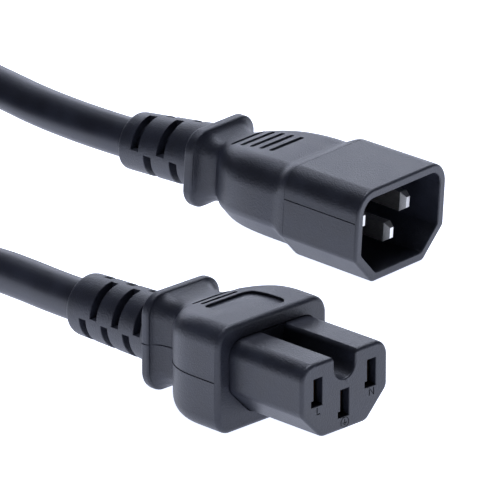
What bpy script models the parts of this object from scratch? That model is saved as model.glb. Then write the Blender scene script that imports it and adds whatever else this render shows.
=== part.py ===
"""Power cord: a round three-core mains lead, moulded at one end to a shrouded plug with
three flat pins and at the other to a socket connector with a keyed nose. Both ends lie
side by side and point along +X; the slack is wound into one flat coil behind them.
Metres, +Z up, the origin under the middle of the connector's housing."""
import math

import bmesh
import bpy
from mathutils import Matrix, Vector

# Pin interface shared by the two ends
LINE_SPACING = 0.014
EARTH_DROP = 0.004
ROW_RISE = 0.0018
PLUG_ROW_RISE = 0.0016
PIN_WIDTH = 0.002
PIN_HEIGHT = 0.004

# Running clearance between neighbours, and how far a cut runs past a face
FIT_GAP = 0.0003
OVERRUN = 0.001

# Cord, its three cores and their crimped ends
CORD_DIAMETER = 0.0084
CORE_DIAMETER = 0.0028
CONDUCTOR_DIAMETER = 0.0016
CRIMP_WALL = 0.0004
CRIMP_LENGTH = 0.0052
CRIMP_FRONT = 0.0008
BARE_LENGTH = 0.0008

# Connector nose, the hard carrier of the spring contacts
NOSE_WIDTH = 0.0226
NOSE_HEIGHT = 0.0150
NOSE_LENGTH = 0.0186
NOSE_ROOT = 0.0085
NOSE_TOP_RADIUS = 0.0032
NOSE_CHAMFER = 0.0058
NOSE_CHAMFER_RADIUS = 0.0009
NOSE_EDGE = 0.0005
KEY_WIDTH = 0.0056
KEY_DEPTH = 0.0050
SLOT_WIDTH = 0.0023
SLOT_HEIGHT = 0.0054
SLOT_LIP = 0.0015
NOTCH_WIDTH = 0.0007
NOTCH_HEIGHT = 0.0013

# Spring contacts of the connector
CONTACT_SHEET = 0.0004
CONTACT_WIDTH = 0.0032
CONTACT_HEIGHT = 0.0056
CONTACT_LENGTH = 0.0150
CONTACT_THROAT = 0.0014
CONTACT_SET_BACK = 0.0006

# Connector housing, moulded round the nose and the cord
HOUSING_WIDTH = 0.0283
HOUSING_HEIGHT = 0.0214
HOUSING_FLAT = 0.0050
HOUSING_RADIUS = 0.0039
HOUSING_CUT = 0.0021
HOUSING_EDGE = 0.0007
SHOULDER_LENGTH = 0.0126
CONNECTOR_NECK_WIDTH = 0.0144
CONNECTOR_NECK_HEIGHT = 0.0162
CONNECTOR_NECK_LENGTH = 0.0057
CONNECTOR_FLARE_LENGTH = 0.0043
CONNECTOR_NECK_DROP = 0.0005
CONNECTOR_CORD_DROP = 0.0012
CONNECTOR_NECK_RADIUS = 0.0040
CONNECTOR_NECK_CUT = 0.0025
CONNECTOR_FLANGE_WIDTH = 0.0182
CONNECTOR_FLANGE_HEIGHT = 0.0199
CONNECTOR_FLANGE_LENGTH = 0.0020
CONNECTOR_FLANGE_RADIUS = 0.0040
CONNECTOR_FLANGE_CUT = 0.0026
CONNECTOR_RELIEF_LENGTH = 0.0241
CONNECTOR_JACKET_DEPTH = 0.0278
PANEL_LENGTH = 0.0089
PANEL_WIDTH = 0.0112
PANEL_SET_BACK = 0.0022
PANEL_DEPTH = 0.0005
PANEL_RADIUS = 0.0008
RIB_GAP = 0.0031
CONNECTOR_GRIP_LENGTH = 0.0110
CONNECTOR_GRIP_COUNT = 2

# Plug shroud, the hard carrier of the pins
SHROUD_WIDTH = 0.0282
SHROUD_HEIGHT = 0.0200
SHROUD_LENGTH = 0.0185
SHROUD_DRAFT = 0.0003
SHROUD_WALL = 0.0021
SHROUD_TOP_RADIUS = 0.0048
SHROUD_CHAMFER = 0.0060
SHROUD_CHAMFER_RADIUS = 0.0011
SHROUD_EDGE = 0.0006
RIM_CHAMFER = 0.0003
SHROUD_FLOOR = 0.0016
SHROUD_ROOT_LENGTH = 0.0056
SHROUD_ROOT_INSET = 0.0036

# Plug pins
PIN_SET_BACK = 0.0039
EARTH_SET_BACK = 0.0022
PIN_TIP_LENGTH = 0.0013
PIN_TIP_BEVEL_WIDTH = 0.0005
PIN_TIP_BEVEL_HEIGHT = 0.0009
PIN_TAIL = 0.0012
PIN_TAIL_WIDTH = 0.0014
PIN_TAIL_HEIGHT = 0.0024

# Plug body, moulded round the shroud's root and the cord
PLUG_STEP = 0.0012
PLUG_STEP_LENGTH = 0.0024
PLUG_BODY_LENGTH = 0.0199
PLUG_BODY_RADIUS = 0.0056
PLUG_BODY_CUT = 0.0054
PLUG_BODY_CUT_RADIUS = 0.0020
PLUG_NECK_WIDTH = 0.0130
PLUG_NECK_HEIGHT = 0.0132
PLUG_NECK_LENGTH = 0.0043
PLUG_FLARE_LENGTH = 0.0040
PLUG_NECK_DROP = 0.0001
PLUG_CORD_DROP = 0.0002
PLUG_RELIEF_SAG = 0.0017
PLUG_NECK_RADIUS = 0.0036
PLUG_NECK_CUT = 0.0024
PLUG_FLANGE_WIDTH = 0.0185
PLUG_FLANGE_HEIGHT = 0.0164
PLUG_FLANGE_LENGTH = 0.0023
PLUG_FLANGE_RADIUS = 0.0044
PLUG_FLANGE_CUT = 0.0027
PLUG_RELIEF_LENGTH = 0.0204
PLUG_JACKET_DEPTH = 0.0240
PLUG_GRIP_COUNT = 5
PLUG_GRIP_LENGTH = 0.0103
PLUG_GRIP_START = 0.0083

# Features that both moulded bodies share
GRIP_PITCH = 0.00245
GRIP_WIDTH = 0.0009
GRIP_DEPTH = 0.0007
FLANGE_EDGE = 0.0006
RELIEF_FRONT_DIAMETER = 0.0128
RELIEF_REAR_DIAMETER = 0.0121
RELIEF_EDGE = 0.0006
RELIEF_SLOT_WIDTH = 0.0017
RELIEF_WEB = 0.0046
CONNECTOR_SLOT_START = 0.0048
CONNECTOR_SLOT_STEP = 0.0028
CONNECTOR_SLOT_COUNT = 6
PLUG_SLOT_START = 0.0047
PLUG_SLOT_STEP = 0.0035
PLUG_SLOT_COUNT = 4

# Where the plug lies beside the connector: its rim's middle, its turn about +Z, and its
# tilt onto the rim's lower edge, because the cord behind it comes off the coil's top
PLUG_PLACE = (-0.0341, 0.0724)
PLUG_TURN = math.radians(5.5)
PLUG_TILT = math.radians(3.4)

# Coil of slack cord: its middle and turns, and where each lead runs onto its outer turn
COIL_CENTRE = (-0.1785, 0.0108)
COIL_MEAN_DIAMETER = 0.092
COIL_TURNS_WIDE = 3
COIL_TURNS_HIGH = 2
TIE_WIDTH = 0.010
TIE_THICKNESS = 0.001
TIE_ANGLE = math.radians(150)
CONNECTOR_JOIN_ANGLE = math.radians(-62)
PLUG_JOIN_ANGLE = math.radians(92)
LEAD_STRAIGHT = 0.018
LEAD_STEP = 0.018

# How full each body's sides, top and bottom stay before they close on the neck
PLUG_FULLNESS_SHARES = (2.7, 1.9, 6.0)
CONNECTOR_FULLNESS_SHARES = (3.0, 2.5, 2.8)

# Facets on round forms, and shares used by the outlines
CORNER_STEPS = 4
CIRCLE_STEPS = 32
CORE_SIDES = 12
CORE_STEPS = 8
COIL_STEPS = 48
TIE_STEPS = 3
CLOSING_STEPS = 10
FLARE_STEPS = 4
EDGE_STEPS = 2
EDGE_LIMIT_SHARE = 0.48
CHAMFER_GROWTH_SHARE = 2 - math.sqrt(2)
SMOOTH_ANGLE = math.radians(32)


def rounded_outline(corners, steps=CORNER_STEPS):
    """Closed outline through (across, up, radius) corners, each turned into an arc."""
    points = []
    for index, (across, up, radius) in enumerate(corners):
        here = Vector((across, up))
        back = Vector(corners[index - 1][:2]) - here
        ahead = Vector(corners[(index + 1) % len(corners)][:2]) - here
        half_angle = back.angle(ahead) / 2
        room = EDGE_LIMIT_SHARE * min(back.length, ahead.length)
        reach = min(radius / math.tan(half_angle), room)
        fitted = reach * math.tan(half_angle)
        inward = (back.normalized() + ahead.normalized()).normalized()
        centre = here + inward * (fitted / math.sin(half_angle))
        start = here + back.normalized() * reach - centre
        turn = start.angle_signed(here + ahead.normalized() * reach - centre)
        for step in range(steps + 1):
            angle = math.atan2(start.y, start.x) - turn * step / steps
            points.append(centre + fitted * Vector((math.cos(angle), math.sin(angle))))
    return points


def section_outline(section, grow=0.0):
    """Outline of a body section: rounded top corners, cut and softened bottom corners."""
    width, top, bottom, top_radius, cut, cut_radius = section
    half = width / 2 + grow
    cut = cut + grow * CHAMFER_GROWTH_SHARE
    return rounded_outline([
        (-half, top + grow, top_radius + grow),
        (half, top + grow, top_radius + grow),
        (half, bottom - grow + cut, cut_radius),
        (half - cut, bottom - grow, cut_radius),
        (cut - half, bottom - grow, cut_radius),
        (-half, bottom - grow + cut, cut_radius),
    ])


def rectangle_outline(width, height):
    return [Vector((side * width / 2, up * height / 2))
            for side, up in ((-1, 1), (1, 1), (1, -1), (-1, -1))]


def circle_outline(radius, steps=CIRCLE_STEPS):
    return [Vector((math.cos(angle), math.sin(angle))) * radius
            for angle in (math.tau * step / steps for step in range(steps))]


def mix(first, second, share):
    """Section part of the way from the first to the second."""
    return tuple(a + (b - a) * share for a, b in zip(first, second))


def ring_at(x, outline, centre=(0.0, 0.0)):
    return [Vector((x, centre[0] + point.x, centre[1] + point.y)) for point in outline]


def loft(bm, rings, endless=False):
    """Skin a closed body over rings that all have the same number of points; an endless
    one runs from its last ring back to its first."""
    loops = [[bm.verts.new(point) for point in ring] for ring in rings]
    if endless:
        loops.append(loops[0])
    for near, far in zip(loops, loops[1:]):
        for index in range(len(near)):
            follow = (index + 1) % len(near)
            bm.faces.new((near[index], near[follow], far[follow], far[index]))
    if not endless:
        bm.faces.new(loops[0])
        bm.faces.new(loops[-1])


def prism(bm, base_points, rise):
    """Extrude a flat outline of points by the vector rise."""
    base = bm.faces.new([bm.verts.new(point) for point in base_points])
    raised = bmesh.ops.extrude_face_region(bm, geom=[base])["geom"]
    verts = [item for item in raised if isinstance(item, bmesh.types.BMVert)]
    bmesh.ops.translate(bm, verts=verts, vec=rise)


def box(bm, low, high):
    outline = [(low[0], low[1]), (high[0], low[1]), (high[0], high[1]), (low[0], high[1])]
    prism(bm, [Vector((x, y, low[2])) for x, y in outline], Vector((0, 0, high[2] - low[2])))


def sweep(bm, path, radii, sides=CORE_SIDES):
    """Round bar along a path that never stands upright, with a radius at each point."""
    rings = []
    for index, point in enumerate(path):
        before = path[max(index - 1, 0)]
        after = path[min(index + 1, len(path) - 1)]
        along = (after - before).normalized()
        across = along.cross(Vector((0, 0, 1))).normalized()
        upward = across.cross(along)
        rings.append([point + across * spot.x + upward * spot.y
                      for spot in circle_outline(radii[index], sides)])
    loft(bm, rings)


def make_mesh(name, bm):
    bmesh.ops.recalc_face_normals(bm, faces=bm.faces[:])
    mesh = bpy.data.meshes.new(name)
    bm.to_mesh(mesh)
    bm.free()
    return mesh


def add_piece(name, bm, material, frame):
    mesh = make_mesh(name, bm)
    mesh.materials.append(material)
    mesh.shade_smooth()
    mesh.set_sharp_from_angle(angle=SMOOTH_ANGLE)
    piece = bpy.data.objects.new(name, mesh)
    piece.parent = frame
    bpy.context.scene.collection.objects.link(piece)
    return piece


def add_tool(name, bm, frame):
    """Helper body for a Boolean; it is not a piece of the cord."""
    tool = bpy.data.objects.new(name, make_mesh(name, bm))
    tool.parent = frame
    tool.display_type = "WIRE"
    tool.hide_render = True
    bpy.context.scene.collection.objects.link(tool)
    return tool


def combine(piece, tool, operation):
    modifier = piece.modifiers.new(tool.name, "BOOLEAN")
    modifier.operation = operation
    modifier.object = tool
    modifier.solver = "EXACT"


def add_material(name, colour, roughness, metallic=0.0):
    material = bpy.data.materials.new(name)
    material.use_nodes = True
    shader = material.node_tree.nodes["Principled BSDF"]
    shader.inputs["Base Color"].default_value = (*colour, 1.0)
    shader.inputs["Roughness"].default_value = roughness
    shader.inputs["Metallic"].default_value = metallic
    material.diffuse_color = (*colour, 1.0)
    return material


def add_frame(name, place, turn=0.0, tilt=0.0):
    frame = bpy.data.objects.new(name, None)
    frame.location = place
    frame.rotation_euler = (0, tilt, turn)
    bpy.context.scene.collection.objects.link(frame)
    return frame


def contact_places(line_side, rise):
    """Place (across, up) of each contact; the line is on one side, the neutral opposite."""
    reach = line_side * LINE_SPACING / 2
    return {
        "line": (reach, rise),
        "neutral": (-reach, rise),
        "earth": (0.0, rise - EARTH_DROP),
    }


def core_lay(place, level):
    """Place of a core at the jacket's cut end, where the three lie against each other."""
    radius = (CORE_DIAMETER + FIT_GAP) / math.sqrt(3)
    side = (place[0] > 0) - (place[0] < 0)
    if side == 0:
        return (0.0, level - radius)
    return (side * radius * math.cos(math.radians(30)),
            level + radius * math.sin(math.radians(30)))


def core_path(front_x, bend_x, rear_x, place, level):
    """Straight behind the crimp, then an S to the core's place in the jacket."""
    lay = core_lay(place, level)
    path = [Vector((front_x, *place))]
    for step in range(CORE_STEPS + 1):
        share = step / CORE_STEPS
        eased = share * share * (3 - 2 * share)
        path.append(Vector((bend_x + (rear_x - bend_x) * share,
                            place[0] + (lay[0] - place[0]) * eased,
                            place[1] + (lay[1] - place[1]) * eased)))
    return path


def crimp(bm, front_x, place):
    """Crimp barrel: a sleeve closed at the front, open to the rear for the conductor."""
    bore = CONDUCTOR_DIAMETER / 2 + FIT_GAP
    outer = bore + CRIMP_WALL
    rear_x = front_x - CRIMP_LENGTH
    floor_x = front_x - CRIMP_FRONT
    loft(bm, [ring_at(x, circle_outline(radius, CORE_SIDES), place) for x, radius in (
        (front_x, outer), (rear_x, outer), (rear_x, bore), (floor_x, bore))])


def quarter_round(face_x, section, radius, towards):
    """Rings that round the edge of a flat end face; towards is +1 for a face at +X."""
    rings = []
    for step in range(EDGE_STEPS + 1):
        angle = math.pi / 2 * step / EDGE_STEPS
        inset = radius * (1 - math.sin(angle))
        depth = radius * (1 - math.cos(angle))
        rings.append(ring_at(face_x - towards * depth, section_outline(section, -inset)))
    return rings if towards > 0 else rings[::-1]


def neck_and_flange(neck, flange, neck_x, neck_length, flare_length, flange_length):
    """Rings from the neck's front, out in a hollow flare to the flange's rear face."""
    front_x = neck_x - neck_length
    rings = [ring_at(neck_x, section_outline(neck))]
    for step in range(FLARE_STEPS):
        angle = math.pi / 2 * step / FLARE_STEPS
        section = mix(neck, flange, 1 - math.cos(angle))
        x = front_x + flare_length * (1 - math.sin(angle))
        rings.append(ring_at(x, section_outline(section)))
    rings.extend(quarter_round(front_x, flange, FLANGE_EDGE, 1))
    rings.extend(quarter_round(front_x - flange_length, flange, FLANGE_EDGE, -1))
    return rings


def closing_section(body, neck, fullness_shares, share):
    """Section of a body at a share of its closing length, its sides, top and bottom each
    closing on the neck at their own rate."""
    side, top, bottom = (1 - share ** fullness for fullness in fullness_shares)
    rates = (side, top, bottom, side, side, side)
    return tuple(b + (a - b) * rate for a, b, rate in zip(body, neck, rates))


def closing_rings(body, neck, fullness_shares, start_x, length):
    """Rings of a body that closes on its neck, without the neck's own first ring."""
    rings = []
    for step in range(CLOSING_STEPS):
        share = step / CLOSING_STEPS
        section = closing_section(body, neck, fullness_shares, share)
        rings.append(ring_at(start_x - length * share, section_outline(section)))
    return rings


def axis_level(axis, x):
    """Height at x of a relief's axis, which runs straight from its front to its rear."""
    front, rear = axis
    return front.z + (rear.z - front.z) * (x - front.x) / (rear.x - front.x)


def relief_sleeve(bm, axis):
    """Tapered round sleeve behind the flange, its end edge rounded."""
    front = RELIEF_FRONT_DIAMETER / 2
    rear = RELIEF_REAR_DIAMETER / 2
    rings = [ring_at(axis[0].x, circle_outline(front), (0, axis[0].z))]
    for step in range(EDGE_STEPS + 1):
        angle = math.pi / 2 * step / EDGE_STEPS
        radius = rear - RELIEF_EDGE * (1 - math.cos(angle))
        x = axis[1].x + RELIEF_EDGE * (1 - math.sin(angle))
        rings.append(ring_at(x, circle_outline(radius), (0, axis_level(axis, x))))
    loft(bm, rings)


def relief_slots(bm, axis, start, step, count, first):
    """Slots that let the sleeve bend: each plane has one above and one below the axis on
    opposite sides, and the next plane has them in the other two quarters. In the rearmost
    plane the one on the -Y side is above if first is 1, below if it is -1."""
    reach = RELIEF_FRONT_DIAMETER / 2 + OVERRUN
    for index in range(count):
        x = axis[1].x + start + step * index
        level = axis_level(axis, x)
        flip = -first if index % 2 else first
        for side, up in ((-1, flip), (1, -flip)):
            inner = side * RELIEF_WEB / 2
            outer = side * reach
            low = (x - RELIEF_SLOT_WIDTH / 2, min(inner, outer), level + min(0, up * reach))
            high = (x + RELIEF_SLOT_WIDTH / 2, max(inner, outer), level + max(0, up * reach))
            box(bm, low, high)


def grip_groove(bm, x, length, floor, ceiling):
    """Round-ended groove across the top."""
    radius = GRIP_WIDTH / 2
    straight = length / 2 - radius
    outline = []
    for side in (1, -1):
        for step in range(CORNER_STEPS + 1):
            angle = math.pi * step / CORNER_STEPS
            outline.append(Vector((x + side * radius * math.cos(angle),
                                   side * (straight + radius * math.sin(angle)), floor)))
    prism(bm, outline, Vector((0, 0, ceiling - floor)))


def jacket_path(axis, front_x, overrun=0.0):
    """Way of the jacket's end: along the relief's axis, then level to its cut end."""
    level = axis_level(axis, front_x)
    rear_x = axis[1].x - overrun
    return [Vector((rear_x, 0, axis_level(axis, rear_x))),
            Vector((front_x - CORD_DIAMETER / 2, 0, level)), Vector((front_x, 0, level))]


def add_wiring(prefix, frame, places, crimp_x, bend_x, jacket_x, axis, materials):
    """Conductor ends, insulated cores and jacket end inside one moulded body. Returns
    the tools that cut their beds, in the order in which they are cut."""
    level = axis_level(axis, jacket_x)
    crimp_radius = CONDUCTOR_DIAMETER / 2 + FIT_GAP + CRIMP_WALL
    crimp_rear = crimp_x - CRIMP_LENGTH
    core_x = crimp_rear - BARE_LENGTH
    tools = []
    for name, place in places.items():
        bm = bmesh.new()
        front = crimp_x - CRIMP_FRONT - FIT_GAP
        ends = [Vector((front, *place)), Vector((core_x + FIT_GAP, *place))]
        sweep(bm, ends, [CONDUCTOR_DIAMETER / 2] * 2)
        add_piece(f"{prefix}_{name}_conductor", bm, materials["copper"], frame)

        path = core_path(core_x, bend_x, jacket_x + FIT_GAP, place, level)
        bm = bmesh.new()
        sweep(bm, path, [CORE_DIAMETER / 2] * len(path))
        add_piece(f"{prefix}_{name}_core", bm, materials[name], frame)

        bed = [Vector((crimp_x + OVERRUN, *place)), Vector((core_x + BARE_LENGTH, *place))]
        lay = core_lay(place, level)
        bed += path[1:] + [Vector((jacket_x - OVERRUN, *lay))]
        radii = [crimp_radius + FIT_GAP] * 2 + [CORE_DIAMETER / 2 + FIT_GAP] * len(path)
        bm = bmesh.new()
        sweep(bm, bed, radii)
        tools.append(add_tool(f"{prefix}_{name}_bed", bm, frame))

    bm = bmesh.new()
    path = jacket_path(axis, jacket_x)
    sweep(bm, path, [CORD_DIAMETER / 2] * len(path), CIRCLE_STEPS)
    add_piece(f"{prefix}_cord_end", bm, materials["jacket"], frame)
    bm = bmesh.new()
    path = jacket_path(axis, jacket_x + FIT_GAP, OVERRUN)
    sweep(bm, path, [CORD_DIAMETER / 2 + FIT_GAP] * len(path), CIRCLE_STEPS)
    tools.append(add_tool(f"{prefix}_cord_bed", bm, frame))
    return tools


def add_spring_contact(name, place, front_x, material, frame):
    """Folded contact: two leaves that close to a throat and open again at the mouth,
    with a crimp barrel behind. Returns the front of its crimp."""
    half = (CONTACT_WIDTH - CONTACT_SHEET) / 2
    throat = (CONTACT_THROAT + CONTACT_SHEET) / 2
    fold_share = 0.45
    throat_share = 0.14
    rear_x = front_x - CONTACT_LENGTH
    side_path = [
        (front_x, (half + throat) / 2),
        (front_x - CONTACT_LENGTH * throat_share, throat),
        (front_x - CONTACT_LENGTH * fold_share, half),
        (rear_x, half),
    ]
    path = side_path + [(x, -y) for x, y in reversed(side_path)]
    outer, inner = [], []
    for index, spot in enumerate(path):
        before = Vector(path[max(index - 1, 0)])
        after = Vector(path[min(index + 1, len(path) - 1)])
        here = Vector(spot)
        into = (here - before).normalized() if index else (after - here).normalized()
        out = (after - here).normalized() if index < len(path) - 1 else into
        normal = (into + out).normalized()
        normal = Vector((-normal.y, normal.x))
        stretch = 1 / max(normal.dot(Vector((-into.y, into.x))), EDGE_LIMIT_SHARE)
        outer.append(here + normal * CONTACT_SHEET / 2 * stretch)
        inner.append(here - normal * CONTACT_SHEET / 2 * stretch)
    low = place[1] - CONTACT_HEIGHT / 2
    outline = [Vector((spot.x, place[0] + spot.y, low)) for spot in outer + inner[::-1]]
    bm = bmesh.new()
    prism(bm, outline, Vector((0, 0, CONTACT_HEIGHT)))
    contact = add_piece(name, bm, material, frame)
    crimp_x = rear_x + CONTACT_SHEET / 4
    bm = bmesh.new()
    crimp(bm, crimp_x, place)
    combine(contact, add_tool(f"{name}_crimp", bm, frame), "UNION")
    return crimp_x


def add_connector(frame, materials):
    front_x = HOUSING_FLAT / 2
    face_x = front_x + NOSE_LENGTH
    root_x = front_x - NOSE_ROOT
    shoulder_x = -HOUSING_FLAT / 2
    neck_x = shoulder_x - SHOULDER_LENGTH
    flange_x = neck_x - CONNECTOR_NECK_LENGTH
    relief_x = flange_x - CONNECTOR_FLANGE_LENGTH - CONNECTOR_RELIEF_LENGTH
    axis = (Vector((flange_x, 0, -CONNECTOR_CORD_DROP)), Vector((relief_x, 0, -CONNECTOR_CORD_DROP)))
    jacket_x = relief_x + CONNECTOR_JACKET_DEPTH
    places = contact_places(-1, ROW_RISE)

    nose_top = NOSE_HEIGHT / 2
    nose = (NOSE_WIDTH, nose_top, -nose_top, NOSE_TOP_RADIUS, NOSE_CHAMFER, NOSE_CHAMFER_RADIUS)
    bm = bmesh.new()
    loft(bm, quarter_round(face_x, nose, NOSE_EDGE, 1) + [ring_at(root_x, section_outline(nose))])
    carrier = add_piece("connector_nose", bm, materials["carrier"], frame)

    half_key = KEY_WIDTH / 2
    key_floor = nose_top - KEY_DEPTH
    key = rounded_outline([
        (-half_key, nose_top + OVERRUN, OVERRUN / 2), (half_key, nose_top + OVERRUN, OVERRUN / 2),
        (half_key, key_floor, half_key), (-half_key, key_floor, half_key),
    ])
    bm = bmesh.new()
    loft(bm, [ring_at(front_x, key), ring_at(face_x + OVERRUN, key)])
    combine(carrier, add_tool("connector_key_cut", bm, frame), "DIFFERENCE")

    slot = rectangle_outline(SLOT_WIDTH, SLOT_HEIGHT)
    chamber = rectangle_outline(CONTACT_WIDTH + 2 * FIT_GAP, CONTACT_HEIGHT + 2 * FIT_GAP)
    chamber_x = face_x - SLOT_LIP
    bm = bmesh.new()
    for place in places.values():
        loft(bm, [
            ring_at(face_x + OVERRUN, slot, place), ring_at(chamber_x, slot, place),
            ring_at(chamber_x, chamber, place), ring_at(root_x - OVERRUN, chamber, place),
        ])
    combine(carrier, add_tool("connector_chambers", bm, frame), "DIFFERENCE")
    bm = bmesh.new()
    for across, up in places.values():
        side = across - SLOT_WIDTH / 2
        foot = up - SLOT_HEIGHT / 2
        box(bm, (chamber_x - OVERRUN, side - NOTCH_WIDTH, foot),
            (face_x + OVERRUN, side + NOTCH_WIDTH, foot + NOTCH_HEIGHT))
    combine(carrier, add_tool("connector_notches", bm, frame), "DIFFERENCE")

    for name, place in places.items():
        crimp_x = add_spring_contact(f"connector_{name}_contact", place,
                                     chamber_x - CONTACT_SET_BACK, materials["contact"], frame)

    half = HOUSING_HEIGHT / 2
    housing = (HOUSING_WIDTH, half, -half, HOUSING_RADIUS, HOUSING_CUT, HOUSING_RADIUS)
    half = CONNECTOR_NECK_HEIGHT / 2
    drop = CONNECTOR_NECK_DROP
    neck = (CONNECTOR_NECK_WIDTH, half - drop, -half - drop, CONNECTOR_NECK_RADIUS,
            CONNECTOR_NECK_CUT, CONNECTOR_NECK_RADIUS)
    half = CONNECTOR_FLANGE_HEIGHT / 2
    flange = (CONNECTOR_FLANGE_WIDTH, half - drop, -half - drop, CONNECTOR_FLANGE_RADIUS,
              CONNECTOR_FLANGE_CUT, CONNECTOR_FLANGE_RADIUS)
    rings = quarter_round(front_x, housing, HOUSING_EDGE, 1)
    rings += closing_rings(housing, neck, CONNECTOR_FULLNESS_SHARES, shoulder_x,
                           SHOULDER_LENGTH)
    rings += neck_and_flange(neck, flange, neck_x, CONNECTOR_NECK_LENGTH,
                             CONNECTOR_FLARE_LENGTH, CONNECTOR_FLANGE_LENGTH)
    bm = bmesh.new()
    loft(bm, rings)
    body = add_piece("connector_overmould", bm, materials["overmould"], frame)

    bm = bmesh.new()
    relief_sleeve(bm, axis)
    combine(body, add_tool("connector_sleeve", bm, frame), "UNION")

    bm = bmesh.new()
    pocket = section_outline(nose, FIT_GAP)
    loft(bm, [ring_at(root_x - FIT_GAP, pocket), ring_at(front_x + OVERRUN, pocket)])
    combine(body, add_tool("connector_pocket", bm, frame), "DIFFERENCE")
    bend_x = root_x - FIT_GAP
    for tool in add_wiring("connector", frame, places, crimp_x, bend_x, jacket_x, axis,
                           materials):
        combine(body, tool, "DIFFERENCE")

    bm = bmesh.new()
    relief_slots(bm, axis, CONNECTOR_SLOT_START, CONNECTOR_SLOT_STEP, CONNECTOR_SLOT_COUNT, -1)
    combine(body, add_tool("connector_slots", bm, frame), "DIFFERENCE")

    top = HOUSING_HEIGHT / 2
    panel_x = front_x - PANEL_SET_BACK
    panel = rounded_outline([
        (panel_x, -PANEL_WIDTH / 2, PANEL_RADIUS), (panel_x, PANEL_WIDTH / 2, PANEL_RADIUS),
        (panel_x - PANEL_LENGTH, PANEL_WIDTH / 2, PANEL_RADIUS),
        (panel_x - PANEL_LENGTH, -PANEL_WIDTH / 2, PANEL_RADIUS),
    ])
    bm = bmesh.new()
    prism(bm, [Vector((*point, top - PANEL_DEPTH)) for point in panel],
          Vector((0, 0, PANEL_DEPTH + OVERRUN)))
    for index in range(CONNECTOR_GRIP_COUNT):
        x = panel_x - PANEL_LENGTH - RIB_GAP - GRIP_PITCH * index
        section = closing_section(housing, neck, CONNECTOR_FULLNESS_SHARES,
                                  (shoulder_x - x) / SHOULDER_LENGTH)
        width, surface, corner = section[0], section[1], section[3]
        grip_groove(bm, x, min(CONNECTOR_GRIP_LENGTH, width - 2 * corner),
                    surface - GRIP_DEPTH, top + OVERRUN)
    combine(body, add_tool("connector_top_cuts", bm, frame), "DIFFERENCE")
    return axis


def add_pin(name, place, tip_x, rear_x, material, frame):
    """Flat pin with a bevelled tip, a narrow tail and a crimp barrel."""
    tip = rectangle_outline(PIN_WIDTH - 2 * PIN_TIP_BEVEL_WIDTH,
                            PIN_HEIGHT - 2 * PIN_TIP_BEVEL_HEIGHT)
    blade = rectangle_outline(PIN_WIDTH, PIN_HEIGHT)
    tail = rectangle_outline(PIN_TAIL_WIDTH, PIN_TAIL_HEIGHT)
    tail_x = rear_x - PIN_TAIL
    bm = bmesh.new()
    loft(bm, [
        ring_at(tip_x, tip, place), ring_at(tip_x - PIN_TIP_LENGTH, blade, place),
        ring_at(rear_x, blade, place), ring_at(rear_x, tail, place),
        ring_at(tail_x, tail, place),
    ])
    pin = add_piece(name, bm, material, frame)
    crimp_x = tail_x + CRIMP_FRONT / 2
    bm = bmesh.new()
    crimp(bm, crimp_x, place)
    combine(pin, add_tool(f"{name}_crimp", bm, frame), "UNION")
    return crimp_x


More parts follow.
